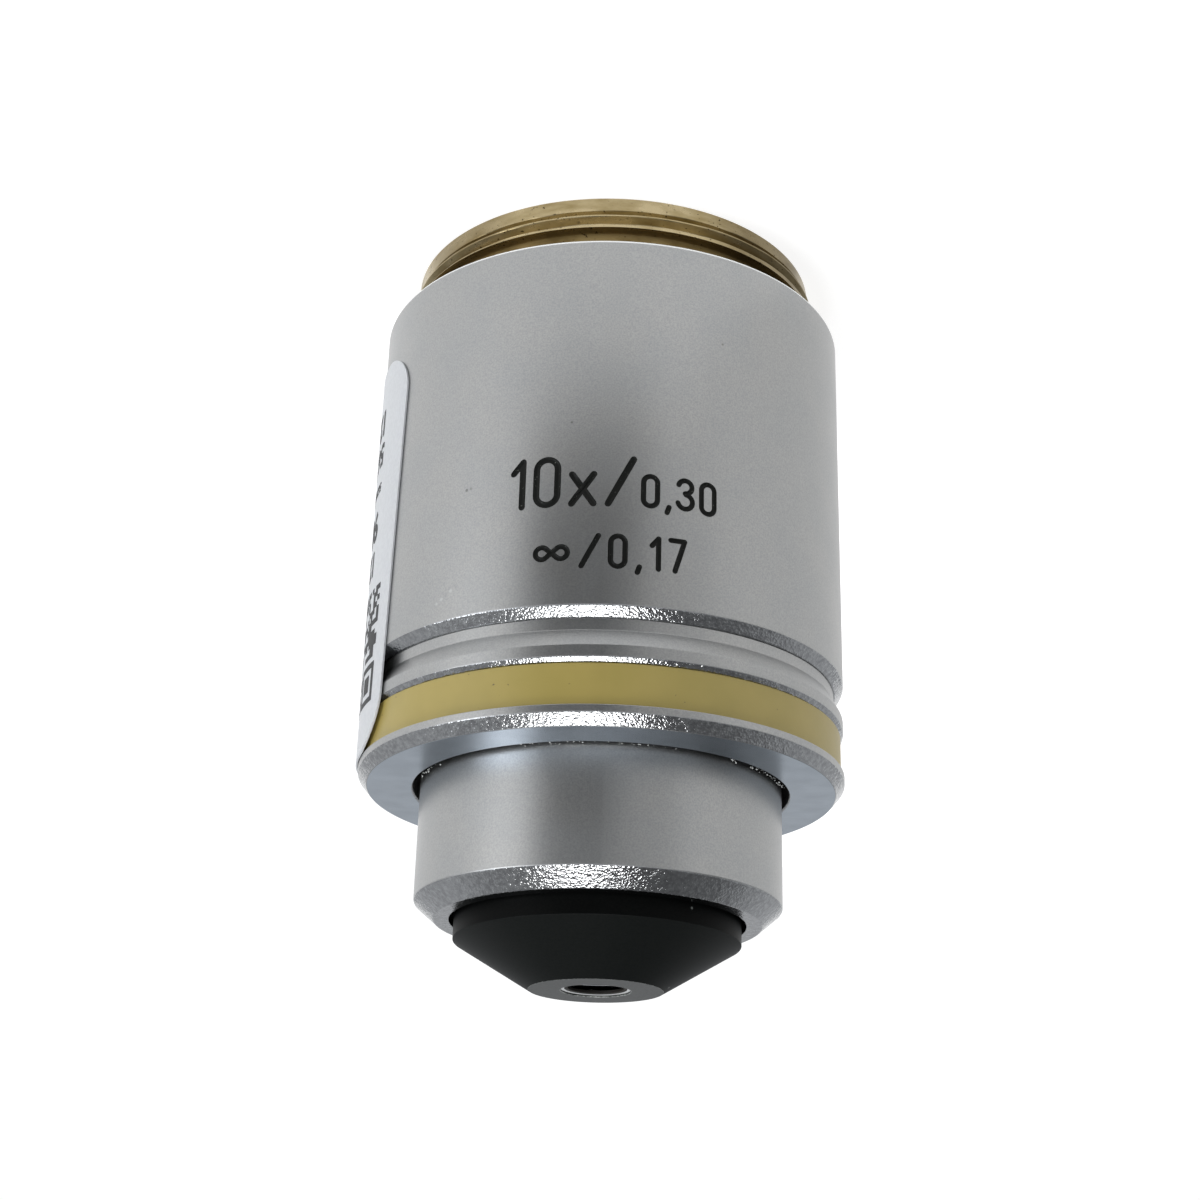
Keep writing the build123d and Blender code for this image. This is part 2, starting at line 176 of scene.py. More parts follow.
def grain(tree, place, size, detail=2.0, roughness=0.5, stretch=(1, 1, 1)):
    """Irregular grain whose lumps are about that many millimetres across."""
    seat = add(tree, "ShaderNodeMapping", None, {"Vector": place, "Scale": stretch})
    return add(
        tree,
        "ShaderNodeTexNoise",
        None,
        {"Vector": seat.outputs[0], "Scale": 1 / (size * MM), "Detail": detail, "Roughness": roughness},
    ).outputs["Fac"]


def spread(tree, value, low, high, from_low=0.35, from_high=0.65):
    """A pattern's value, spread between two others."""
    return add(
        tree,
        "ShaderNodeMapRange",
        None,
        {"Value": value, "From Min": from_low, "From Max": from_high, "To Min": low, "To Max": high},
    ).outputs[0]


def between(tree, amount, first, second):
    """A colour between two, by a pattern."""
    mix = add(tree, "ShaderNodeMix", {"data_type": "RGBA"})
    for socket, value in zip((mix.inputs[0], mix.inputs[6], mix.inputs[7]), (amount, first, second)):
        if isinstance(value, bpy.types.NodeSocket):
            tree.links.new(value, socket)
        else:
            socket.default_value = value
    return mix.outputs[2]


def relief(tree, height, depth, under=None):
    """Bump from a pattern, of that depth in millimetres."""
    inputs = {"Height": height, "Distance": depth * MM, "Strength": 1.0}
    if under:
        inputs["Normal"] = under
    return add(tree, "ShaderNodeBump", None, inputs).outputs[0]


# Materials

# Small marks of use: middle (mm), radius (mm), colour, how strong
SCUFFS = [
    ((9.88, -11.42, 22.66), 0.13, "#d0d2d3", 0.25),
    ((9.6, -11.66, 22.46), 0.15, "#d0d2d3", 0.3),
    ((9.33, -11.87, 22.26), 0.15, "#85888a", 0.3),
    ((9.06, -12.08, 22.06), 0.15, "#d0d2d3", 0.3),
    ((8.78, -12.28, 21.86), 0.13, "#85888a", 0.25),
    ((9.12, -12.04, 21.92), 0.12, "#85888a", 0.25),
    ((8.4, -12.55, 15.86), 0.13, "#4a4a4a", 0.55),
    ((8.15, -12.71, 15.82), 0.12, "#4a4a4a", 0.35),
    ((-6.6, -13.58, 6.2), 0.1, "#57544f", 0.5),
    ((2.3, -14.92, 12.4), 0.09, "#5a5852", 0.5),
]
# The same for shade painted on the thread towards its sides, where it darkens the brass, and for the black
# cone's nicks
THREAD_SIDE_PAINTED_SHADE = [
    ((-10.6, -8.6, -2.4), 6.5, "#51442b", 0.6),
    ((10.0, -9.2, -2.4), 5.0, "#5c4d31", 0.4),
]
NICKS = [
    ((-4.08, -2.0, 42.72), 0.16, "#c4c6c2", 0.8),
    ((-4.28, -1.4, 42.7), 0.12, "#b4b6b2", 0.7),
    ((-4.4, -0.7, 42.66), 0.14, "#b4b6b2", 0.6),
    ((-5.36, -6.88, 39.11), 0.1, "#8d908d", 0.6),
]


def marked(tree, place, tone, marks):
    """A colour with small soft-edged marks laid on it, each round its middle."""
    for middle, radius, code, strength in marks:
        centre = tuple(c * MM for c in middle)
        far = add(tree, "ShaderNodeVectorMath", {"operation": "DISTANCE"}, {0: place, 1: centre})
        amount = spread(tree, far.outputs["Value"], strength, 0, radius * 0.5 * MM, radius * MM)
        tone = between(tree, amount, tone, colour(code))
    return tone


def satin_chrome():
    """Brass, glass-bead blasted and then chromed: a soft grey metal with a fine grain that sparkles
    where it catches a lamp, slightly cloudy, with a few shallow scuffs."""
    made, tree, place = material("blasted_satin_chrome")
    beads = grain(tree, place, 0.13, 3.0, 0.6)
    clouds = grain(tree, place, 3.4, 3.0)
    mottle = grain(tree, place, 0.1, 2.0, 0.6)
    tone = between(tree, spread(tree, mottle, 0, 1), colour("#999a9a"), colour("#a8a8a7"))
    tone = between(tree, spread(tree, clouds, 0.16, 0), tone, colour("#8f959a"))
    tone = marked(tree, place, tone, SCUFFS)
    rough = spread(tree, clouds, 0.36, 0.34)
    surface(
        tree,
        Base_Color=tone,
        Metallic=1.0,
        Roughness=rough,
        Normal=relief(tree, beads, 0.006),
    )
    return made


def turned_chrome(name, depth, roughness):
    """The same chrome on a turned edge that was blasted less: brighter and sharper, with grains
    that glint one by one in the lamp. The depth of the grains, in millimetres, sets how far the glints
    scatter."""
    made, tree, place = material(name)
    beads = add(tree, "ShaderNodeTexVoronoi", None, {"Vector": place, "Scale": 1 / (0.13 * MM)})
    uneven = grain(tree, place, 0.3, 2.0, 0.7)
    deep = spread(tree, uneven, 0.2, 1.0)
    pits = add(tree, "ShaderNodeMath", {"operation": "MULTIPLY"}, {0: beads.outputs["Distance"], 1: deep})
    tone = between(tree, spread(tree, uneven, 0, 1), colour("#9c9d9f"), colour("#b8babb"))
    surface(
        tree,
        Base_Color=tone,
        Metallic=1.0,
        Roughness=roughness,
        Normal=relief(tree, pits.outputs[0], depth),
    )
    return made


def faced_chrome():
    """Chrome on a face that was turned on the lathe: its fine circles spread each reflection across
    them, so that the face shows bright and dark sectors. Its blue tint is a painted reflection of the sky."""
    made, tree, place = material("faced_chrome")
    beads = grain(tree, place, 0.2, 2.0)
    clouds = grain(tree, place, 2.2, 2.0)
    # Blue-grey tone: a painted reflection of the sky
    tone = between(tree, spread(tree, clouds, 0, 1), colour("#b0bac4"), colour("#bcc6d0"))
    shader = surface(
        tree,
        Base_Color=tone,
        Metallic=1.0,
        Roughness=0.22,
        Anisotropic=0.55,
        Anisotropic_Rotation=0.25,
        Normal=relief(tree, beads, 0.002),
    )
    along = add(tree, "ShaderNodeTangent", {"direction_type": "RADIAL", "axis": "Z"})
    tree.links.new(along.outputs[0], shader.inputs["Tangent"])
    return made


def turned_brass(name, first, second, smooth, dull):
    """Bare brass, turned: fine rings from the tool, warm highlights, brown tarnish in clouds, small dark
    specks, and painted shade that darkens the thread towards its sides."""
    made, tree, place = material(name)
    rings = grain(tree, place, 0.09, 2.0, 0.5, (0.02, 0.02, 1))
    clouds = grain(tree, place, 1.6, 4.0, 0.6, (0.5, 0.5, 1.4))
    specks = grain(tree, place, 0.3, 2.0, 0.6, (1, 1, 1.6))
    tone = between(tree, spread(tree, clouds, 0, 1, 0.4, 0.66), colour(first), colour(second))
    tone = between(tree, spread(tree, specks, 0, 1, 0.66, 0.72), tone, colour("#3a2f1e"))
    # Painted shade: the thread darkened towards its sides
    tone = marked(tree, place, tone, THREAD_SIDE_PAINTED_SHADE)
    surface(
        tree,
        Base_Color=tone,
        Metallic=1.0,
        Roughness=spread(tree, clouds, smooth, dull),
        Normal=relief(tree, rings, 0.0015),
    )
    return made


def yellow_lacquer():
    """Semi-matt lacquer, sprayed into the groove: even muted yellow with a faint orange peel and a
    few specks of dirt."""
    made, tree, place = material("yellow_lacquer")
    peel = grain(tree, place, 0.3, 2.0)
    specks = grain(tree, place, 0.35, 1.0)
    clouds = grain(tree, place, 2.5, 2.0)
    tone = between(tree, spread(tree, clouds, 0, 1), colour("#ad9b56"), colour("#a89752"))
    tone = between(tree, spread(tree, specks, 0, 1, 0.76, 0.8), tone, colour("#6e6342"))
    surface(
        tree,
        Base_Color=tone,
        Roughness=0.42,
        IOR=1.5,
        Normal=relief(tree, peel, 0.004),
    )
    return made


def black_anodised(name, first, second, gloss):
    """Aluminium, turned and anodised black: nearly black with a faint green-grey bloom and fine
    rings from the tool."""
    made, tree, place = material(name)
    rings = grain(tree, place, 0.1, 1.0, 0.5, (0.03, 0.03, 1))
    beads = grain(tree, place, 0.12, 2.0)
    tone = between(tree, spread(tree, beads, 0, 1), colour(first), colour(second))
    tone = marked(tree, place, tone, NICKS)
    bump = relief(tree, rings, 0.0015)
    surface(
        tree,
        Base_Color=tone,
        Roughness=0.45,
        IOR=1.45,
        Specular_IOR_Level=gloss,
        Normal=relief(tree, beads, 0.002, bump),
    )
    return made


def faced_anodised():
    """The flat front of the cone, painted a soft grey that stands in for the sheen of the black face at a
    grazing view: painted sheen.
    """
    made, tree, place = material("black_face_painted_sheen")
    beads = grain(tree, place, 0.15, 3.0)
    tone = between(tree, spread(tree, beads, 0, 1), colour("#2b2d2c"), colour("#3f4140"))
    surface(
        tree,
        Base_Color=tone,
        Roughness=0.42,
        IOR=1.5,
        Normal=relief(tree, beads, 0.002),
    )
    return made


def painted_edge_highlight():
    """A pale grey line, mottled, painted along a black edge: a painted highlight of the rounded edge."""
    made, tree, place = material("black_edge_painted_highlight")
    wear = grain(tree, place, 0.16, 3.0, 0.6)
    tone = between(tree, spread(tree, wear, 0, 1, 0.4, 0.6), colour("#4a4d4b"), colour("#a4a7a3"))
    surface(tree, Base_Color=tone, Metallic=0.3, Roughness=0.4)
    return made


def blackened_brass():
    """Brass, turned and chemically blackened so that it throws no light about inside."""
    made, tree, place = material("blackened_brass")
    clouds = grain(tree, place, 1.2, 3.0)
    tone = between(tree, spread(tree, clouds, 0, 1), colour("#1a1816"), colour("#26221c"))
    surface(tree, Base_Color=tone, Roughness=spread(tree, clouds, 0.5, 0.62), Metallic=0.4)
    return made


def spring_steel():
    """Drawn spring wire: bright steel with fine lines along it."""
    made, tree, place = material("drawn_spring_steel")
    lines = grain(tree, place, 0.2, 2.0)
    tone = between(tree, spread(tree, lines, 0, 1), colour("#9c9c9c"), colour("#b4b4b2"))
    surface(tree, Base_Color=tone, Metallic=1.0, Roughness=0.3, Normal=relief(tree, lines, 0.002))
    return made


def bright_steel():
    """Bright turned steel, near white and only partly metallic so that it shows as a bright line: a painted
    highlight on the thin ring round the front glass and on the sleeve's rear edge.
    """
    made, tree, place = material("bright_steel_painted_highlight")
    rings = grain(tree, place, 0.08, 1.0)
    tone = between(tree, spread(tree, rings, 0, 1), colour("#eaecec"), colour("#f2f3f2"))
    surface(tree, Base_Color=tone, Metallic=0.6, Roughness=0.25, Normal=relief(tree, rings, 0.001))
    return made


def optical_glass():
    """Polished optical glass with a thin coating that leaves a faint violet-grey reflection."""
    made, tree, place = material("coated_optical_glass")
    film = grain(tree, place, 1.5, 2.0)
    surface(
        tree,
        Base_Color=between(tree, spread(tree, film, 0, 1), colour("#f4f6f8"), colour("#eef2f6")),
        Roughness=0.02,
        IOR=1.52,
        Transmission_Weight=1.0,
    )
    return made


def label_stock():
    """Smooth white sticker stock: clean, very slightly glossy and a little wavy where it bridges
    the grooves."""
    made, tree, place = material("white_sticker_stock")
    fibres = grain(tree, place, 0.25, 3.0)
    waves = grain(tree, place, 5.0, 1.0)
    tone = between(tree, spread(tree, fibres, 0, 1), colour("#c9cbcd"), colour("#d0d2d4"))
    bump = relief(tree, waves, 0.12)
    surface(
        tree,
        Base_Color=tone,
        Roughness=0.4,
        IOR=1.45,
        Normal=relief(tree, fibres, 0.002, bump),
    )
    return made


def engraving_fill():
    """Black paint rubbed into the engraving: satin, with tiny pale crumbs."""
    made, tree, place = material("black_engraving_fill")
    crumbs = grain(tree, place, 0.13, 2.0)
    tone = between(tree, spread(tree, crumbs, 0, 1, 0.68, 0.8), colour("#0d0f0c"), colour("#6a6d66"))
    surface(
        tree,
        Base_Color=tone,
        Roughness=0.45,
        IOR=1.45,
        Specular_IOR_Level=0.2,
        Normal=relief(tree, crumbs, 0.006),
    )
    return made


def label_ink():
    """Thermal print on the sticker: soft black."""
    made, tree, place = material("black_label_print")
    fibres = grain(tree, place, 0.2, 2.0)
    surface(
        tree,
        Base_Color=between(tree, spread(tree, fibres, 0, 1), colour("#151618"), colour("#242527")),
        Roughness=0.6,
    )
    return made


def pale_flakes_in_gap():
    """Dust and swarf that has settled in the running gap, and a thin run along the front that stands in for
    glints on the nose's edge: tiny pale flakes, partly a painted highlight.
    """
    made, tree, place = material("pale_dust_and_painted_glints")
    tints = grain(tree, place, 0.3, 1.0)
    surface(
        tree,
        Base_Color=between(tree, spread(tree, tints, 0, 1), colour("#b4b6b3"), colour("#f0f2ef")),
        Roughness=0.4,
    )
    return made


SATIN = satin_chrome()
EDGE = turned_chrome("turned_edge_chrome", 0.022, 0.12)
PEENED = turned_chrome("blasted_edge_chrome", 0.021, 0.12)
FACED = faced_chrome()
BRASS = turned_brass("turned_bare_brass", "#b6a784", "#95855f", 0.24, 0.34)
# A darker, duller copy of the brass: painted shade for the undercut below the sleeve
UNDERCUT_PAINTED_SHADE_BRASS = turned_brass("undercut_brass_painted_shade", "#8c7a53", "#6f5e3b", 0.5, 0.6)
YELLOW = yellow_lacquer()
BLACK = black_anodised("black_anodised_cone", "#0d100f", "#131514", 0.09)
# A darker copy of the cone's black for its upright side: painted shade
BLACK_SIDE_PAINTED_SHADE = black_anodised("black_anodised_side_painted_shade", "#060707", "#0a0b0a", 0.05)
BLACK_FACE_PAINTED_SHEEN = faced_anodised()
CONE_EDGE_PAINTED_HIGHLIGHT = painted_edge_highlight()
INNER = blackened_brass()
SPRING = spring_steel()
NEAR_WHITE_STEEL_HIGHLIGHT = bright_steel()
GLASS = optical_glass()
STICKER = label_stock()
FILL = engraving_fill()
INK = label_ink()
DUST_AND_GLINTS = pale_flakes_in_gap()

SLOT_FINISH = {
    "turned_brass": BRASS,
    "satin_chrome": SATIN,
    "yellow_lacquer": YELLOW,
    "black_anodised": BLACK,
    "blackened_brass": INNER,
    "spring_steel": SPRING,
    "bright_steel": NEAR_WHITE_STEEL_HIGHLIGHT,
    "optical_glass": GLASS,
    "label_paper": STICKER,
}
for entry in frame["record"]["subparts"]:
    solid = NODES[entry["node"]]
    solid.data.materials.clear()
    solid.data.materials.append(SLOT_FINISH[entry["material_slot"]])


# Modelling helpers


def deselect():
    """Leave nothing selected."""
    for thing in bpy.data.objects:
        thing.select_set(False)


def edit(piece):
    """Open a piece in edit mode with all of it selected."""
    deselect()
    piece.select_set(True)
    bpy.context.view_layer.objects.active = piece
    bpy.ops.object.mode_set(mode="EDIT")
    bpy.ops.mesh.select_mode(type="VERT")
    bpy.ops.mesh.select_all(action="SELECT")


def done():
    """Leave edit mode."""
    bpy.ops.object.mode_set(mode="OBJECT")


def settle(piece):
    """Put a piece's place into its mesh, and its origin at the frame's."""
    deselect()
    piece.select_set(True)
    bpy.context.view_layer.objects.active = piece
    bpy.ops.object.transform_apply(location=True, rotation=True, scale=True)


def modify(piece, kind, **settings):
    """Add a modifier and apply it."""
    deselect()
    piece.select_set(True)
    bpy.context.view_layer.objects.active = piece
    modifier = piece.modifiers.new(kind.lower(), kind)
    for name, value in settings.items():
        setattr(modifier, name, value)
    bpy.ops.object.modifier_apply(modifier=modifier.name)


def turn(name, outline, segments=SEGMENTS):
    """A turned piece: a circle drawn out and resized from one corner of its outline to the next."""
    radius, height = outline[0]
    deselect()
    bpy.ops.mesh.primitive_circle_add(vertices=segments, radius=radius * MM, location=(0, 0, height * MM))
    piece = bpy.context.object
    piece.name = piece.data.name = name
    settle(piece)
    edit(piece)
    for next_radius, next_height in outline[1:] + outline[:1]:
        rise = (0, 0, (next_height - height) * MM)
        bpy.ops.mesh.extrude_region_move(TRANSFORM_OT_translate={"value": rise})
        share = next_radius / radius
        bpy.ops.transform.resize(value=(share, share, 1), center_override=(0, 0, next_height * MM))
        radius, height = next_radius, next_height
    bpy.ops.mesh.select_all(action="SELECT")
    bpy.ops.mesh.remove_doubles(threshold=0.0005 * MM)
    bpy.ops.mesh.normals_make_consistent(inside=False)
    done()
    return piece


def ease(piece, width, segments=2):
    """Break the sharp corners by a small radius, and shade the piece as turned."""
    modify(
        piece,
        "BEVEL",
        width=width * MM,
        segments=segments,
        limit_method="ANGLE",
        angle_limit=radians(20),
        use_clamp_overlap=True,
    )
    shade(piece)


def shade(piece):
    """Shade a turned piece as truly round: every corner of a face looks straight away from the axis.
    A face whose corners all lie at one radius counts as upright, however narrow it is, and the paint
    in the engraving keeps its own shading."""
    mesh = piece.data
    painted = mesh.materials.find(FILL.name)
    looks = [Vector()] * len(mesh.loops)
    for face in mesh.polygons:
        face.use_smooth = True
        if face.material_index == painted:
            continue
        spots = [mesh.vertices[i].co for i in face.vertices]
        radii = [Vector((spot.x, spot.y)).length for spot in spots]
        upright = max(radii) - min(radii) < ONE_RADIUS * MM and abs(face.normal.z) < 0.7
        rise = 0 if upright else face.normal.z
        out = sqrt(max(0, 1 - rise**2))
        inwards = face.center.x * face.normal.x + face.center.y * face.normal.y < 0
        for corner in face.loop_indices:
            spot = mesh.vertices[mesh.loops[corner].vertex_index].co
            away = Vector((spot.x, spot.y, 0)).normalized() * (-out if inwards else out)
            looks[corner] = (away + Vector((0, 0, rise))).normalized()
    mesh.normals_split_custom_set(looks)


def paint(piece, finish, where=None):
    """Give the piece a finish, or only its faces at places that the test picks."""
    if finish.name not in piece.data.materials:
        piece.data.materials.append(finish)
    index = piece.data.materials.find(finish.name)
    for face in piece.data.polygons:
        spot = face.center / MM
        if where is None or where(sqrt(spot.x**2 + spot.y**2), spot.z, face.normal):
            face.material_index = index


def place(piece, body, slot=None, *nodes):
    """Ride a piece on its body, and hide the CAD nodes that it stands for. The record's finish, slot, is
    not used.
    """
    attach(piece, body)
    if nodes:
        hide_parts(*nodes)


def on_cylinder(along, height, radius):
    """A point on a cylinder round the axis, by its angle in degrees and its height."""
    return Vector((radius * cos(radians(along)), radius * sin(radians(along)), height)) * MM


# Threaded mount: the brass turning. Its threaded stretch is drawn in many fine rings, and each is then
# pressed inwards to the thread's profile along its helix.
CREST_AT_FRONT = -2.76
SHOULDER = -1.92
LEAD_IN_RADIUS = 13.25
RUN_IN = 50  # degrees round the back, over which the first groove deepens
FIRST_GROOVE_END = 0.35
RUN_OUT = 4
# Heights past the first crest, and radii: plain lead-in, first groove, crest, second groove, second crest
THREAD_PROFILE = [
    (-9.0, LEAD_IN_RADIUS),
    (-0.5, LEAD_IN_RADIUS),
    (-0.34, 12.98),
    (-0.28, 12.98),
    (-0.06, THREAD_RADIUS),
    (0.04, THREAD_RADIUS),
    (0.355, 13.08),
    (0.46, 13.08),
    (0.66, THREAD_RADIUS),
    (9.0, THREAD_RADIUS),
]
THREAD_RINGS = 61
RING_STEP = 0.04
UNDERCUT = 0.3
ring_heights = [THREAD_END + THREAD_CHAMFER + RING_STEP * i for i in range(THREAD_RINGS)]
RELIEF_TOP = ring_heights[-1]
mount = turn(
    "threaded_mount",
    [(REAR_BORE, THREAD_END), (THREAD_RADIUS - THREAD_CHAMFER, THREAD_END)]
    + [(THREAD_RADIUS, height) for height in ring_heights]
    + [
        (RELIEF_RADIUS, RELIEF_TOP + RING_STEP),
        (RELIEF_RADIUS, UNDERCUT),
        (13.6, UNDERCUT),
        (13.6, 0),
        (SLEEVE_SEAT, 0),
        (SLEEVE_SEAT, SEAT_LEDGE),
        (SLEEVE_BORE, SEAT_LEDGE),
        (SLEEVE_BORE, SLEEVE_END - 0.1),
        (BODY_BORE, SLEEVE_END - 0.1),
        (BODY_BORE, STOP_FACE - 0.1),
        (GUIDE_BORE, STOP_FACE - 0.1),
        (GUIDE_BORE, REAR_BORE_END),
        (REAR_BORE, REAR_BORE_END),
    ],
    FINE_SEGMENTS,
)


def along_profile(profile, height):
    """The radius of a profile at a height, straight between its corners."""
    for (low, first), (high, second) in zip(profile, profile[1:]):
        if low <= height <= high:
            return first + (second - first) * (height - low) / (high - low)


def thread_radius(along, height):
    """The mount's radius by the angle from its back, in degrees, and the height. The profile climbs a
    right-handed helix. Its first groove deepens slowly, and its last turn runs out into the relief."""
    past_crest = height - CREST_AT_FRONT - THREAD_PITCH * (along - 180) / 360
    radius = along_profile(THREAD_PROFILE, past_crest)
    if past_crest < FIRST_GROOVE_END:
        radius = LEAD_IN_RADIUS + (radius - LEAD_IN_RADIUS) * min(1, along / RUN_IN)
    return min(radius, THREAD_RADIUS - RUN_OUT * (height - SHOULDER))


for vertex in mount.data.vertices:
    out = sqrt(vertex.co.x**2 + vertex.co.y**2) / MM
    height = vertex.co.z / MM
    if out < RELIEF_RADIUS + 0.1 or height > RELIEF_TOP + 0.01:
        continue
    along = (degrees(atan2(vertex.co.y, vertex.co.x)) + 270) % 360
    share = max(min(thread_radius(along, height), out), RELIEF_RADIUS) / out
    if height < THREAD_END + 0.01:
        share = (LEAD_IN_RADIUS - THREAD_CHAMFER) / out
    vertex.co.x *= share
    vertex.co.y *= share
paint(mount, BRASS)
# The undercut below the sleeve is painted darker brass: painted shade
paint(mount, UNDERCUT_PAINTED_SHADE_BRASS, lambda r, z, n: SHOULDER + 0.03 < z < 0 and r > 12.9)
shade(mount)
place(mount, "barrel", "turned_brass", "mount_body")

# Engraved sleeve, with its rear edge rounded in fine steps
SLEEVE_CHAMFER = 0.53
SLEEVE_CHAMFER_START = SLEEVE_END - 0.58
ROUND_IN, ROUND_UP = 0.16, 0.17
ROUND_END = SLEEVE_FOOT + ROUND_UP
quarter = [radians(a) for a in range(0, 91, 15)]
rounded = [(ROUND_IN * (1 - sin(a)), ROUND_END - ROUND_UP * cos(a)) for a in quarter]
sleeve = turn(
    "engraved_sleeve",
    [(SLEEVE_SEAT + FIT, SLEEVE_FOOT)]
    + [(SLEEVE_RADIUS - inset, height) for inset, height in rounded]
    + [
        (SLEEVE_RADIUS, SLEEVE_CHAMFER_START),
        (SLEEVE_RADIUS - SLEEVE_CHAMFER, SLEEVE_END),
        (SLEEVE_BORE + FIT, SLEEVE_END),
        (SLEEVE_BORE + FIT, SEAT_LEDGE),
        (SLEEVE_SEAT + FIT, SEAT_LEDGE),
    ],
    FINE_SEGMENTS,
)
ease(sleeve, 0.05)
paint(sleeve, SATIN)
paint(sleeve, EDGE, lambda r, z, n: z > SLEEVE_CHAMFER_START and r > NECK_RADIUS)
# The sleeve's rear edge is painted with the near-white steel: a painted highlight line
paint(sleeve, NEAR_WHITE_STEEL_HIGHLIGHT, lambda r, z, n: z < ROUND_END - 0.01 and r > SLEEVE_RADIUS - 0.2)


def arc(x, y, radius, first, last, steps=14):
    """Points of an arc, from one angle to another, anticlockwise if the second is larger."""
    turns = [radians(first + (last - first) * i / steps) for i in range(steps + 1)]
    return [(x + radius * cos(t), y + radius * sin(t)) for t in turns]


# Engraver's single-stroke figures: each is a width and its strokes, for a height of 1.
# A stroke whose ends meet is closed. Strokes of one figure that touch are cut one after another.
OVAL = arc(0.22, 0.78, 0.22, 0, 180) + arc(0.22, 0.22, 0.22, 180, 360)
RIGHT_LOOP = arc(0.85, 0.45, 0.2, 122, -122)
LEFT_LOOP = [(1.1 - x, y) for x, y in RIGHT_LOOP]
FIGURES = {
    "0": (0.44, [OVAL + OVAL[:1]]),
    "1": (0.20, [[(0.2, 1.0), (0.2, 0.0)], [(0.0, 0.76), (0.2, 1.0)]]),
    "3": (0.44, [arc(0.21, 0.78, 0.22, 165, -90), arc(0.21, 0.28, 0.24, 84, -165)]),
    "7": (0.44, [[(0.0, 1.0), (0.44, 1.0)], [(0.44, 1.0), (0.14, 0.0)]]),
    "x": (0.44, [[(0.0, 0.645), (0.44, 0.0)], [(0.44, 0.645), (0.0, 0.0)]]),
    "/": (0.50, [[(0.5, 1.0), (0.0, 0.0)]]),
    ",": (0.06, [[(0.06, 0.02), (0.0, -0.16)]]),
    "∞": (1.1, [RIGHT_LOOP, LEFT_LOOP, [RIGHT_LOOP[0], LEFT_LOOP[-1]], [LEFT_LOOP[0], RIGHT_LOOP[-1]]]),
}


def written(text, height, gap):
    """Strokes of a line of figures, from x = 0, in the order that they are cut, and the line's length."""
    passes, pen = [[], [], [], []], 0.0
    for mark in text:
        width, lines = FIGURES.get(mark, (0.0, []))
        for cuts, line in zip(passes, lines):
            cuts.append([(pen + x * height, y * height) for x, y in line])
        pen += width * height + gap
    return passes, pen - gap


def stroke(name, radius, bend, lines, tool):
    """Tubes with round ends that follow the strokes, lying that far from the axis."""
    path = bpy.data.curves.new(name, "CURVE")
    path.dimensions = "3D"
    path.bevel_depth = tool * MM
    path.bevel_resolution = 5
    path.use_fill_caps = True
    rounding = [(sin(t), cos(t)) for t in [radians(a) for a in (84, 70, 52, 28)]]
    for line in lines:
        closed = line[0] == line[-1]
        points = [(Vector(p), 1.0) for p in (line[:-1] if closed else line)]
        if not closed:
            for end, inner in ((0, 1), (-1, -2)):
                tip = Vector(line[end])
                ahead = (tip - Vector(line[inner])).normalized() * tool
                extra = [(tip + ahead * far, wide) for far, wide in rounding]
                points = extra + points if end == 0 else points + extra[::-1]
        spline = path.splines.new("POLY")
        spline.points.add(len(points) - 1)
        for point, ((along, height), wide) in zip(spline.points, points):
            point.co = (*bend(along, height, radius), 1)
            point.radius = wide
        spline.use_cyclic_u = closed
    made = bpy.data.objects.new(name, path)
    bpy.context.scene.collection.objects.link(made)
    deselect()
    made.select_set(True)
    bpy.context.view_layer.objects.active = made
    bpy.ops.object.convert(target="MESH")
    return bpy.context.object


FRONT_ANGLE = -68.3


def sleeve_place(along, height, radius):
    """Round the sleeve from the first figure, reading the way the nose hangs down."""
    return on_cylinder(FRONT_ANGLE - degrees(along / SLEEVE_RADIUS), height, radius)


def laid(passes, left, baseline):
    """A line's strokes at their place on the sleeve, where heights grow towards the nose."""
    return [[[(left + x, baseline - y) for x, y in line] for line in lines] for lines in passes]


BIG_FIGURE, SMALL_FIGURE = 2.87, 1.87
BIG_LINE, SMALL_LINE = 0.41, 0.33
UPPER_ROW, LOWER_ROW = 17.62, 21.5
ROWS_MIDDLE = 5.8
big, big_length = written("10x/", BIG_FIGURE, 0.85)
small, _ = written("0,30", SMALL_FIGURE, 0.58)
low, low_length = written("∞/0,17", SMALL_FIGURE, 0.72)
rows = [
    (laid(big, 0.0, UPPER_ROW), BIG_LINE),
    (laid(small, big_length + 0.6, UPPER_ROW), SMALL_LINE),
    (laid(low, ROWS_MIDDLE - low_length / 2, LOWER_ROW), SMALL_LINE),
]
ENGRAVING_DEPTH = 0.11
for passes, width in rows:
    tool = (width**2 / 4 + ENGRAVING_DEPTH**2) / (2 * ENGRAVING_DEPTH)
    for lines in passes:
        if not lines:
            continue
        cutter = stroke("cutter", SLEEVE_RADIUS + tool - ENGRAVING_DEPTH, sleeve_place, lines, tool)
        edit(cutter)
        bpy.ops.mesh.remove_doubles(threshold=0.0005 * MM)
        bpy.ops.mesh.normals_make_consistent(inside=False)
        done()
        paint(cutter, FILL)
        modify(
            sleeve,
            "BOOLEAN",
            object=cutter,
            operation="DIFFERENCE",
            solver="EXACT",
            material_mode="TRANSFER",
        )
        bpy.data.objects.remove(cutter)
shade(sleeve)
place(sleeve, "barrel", "satin_chrome", "outer_sleeve")

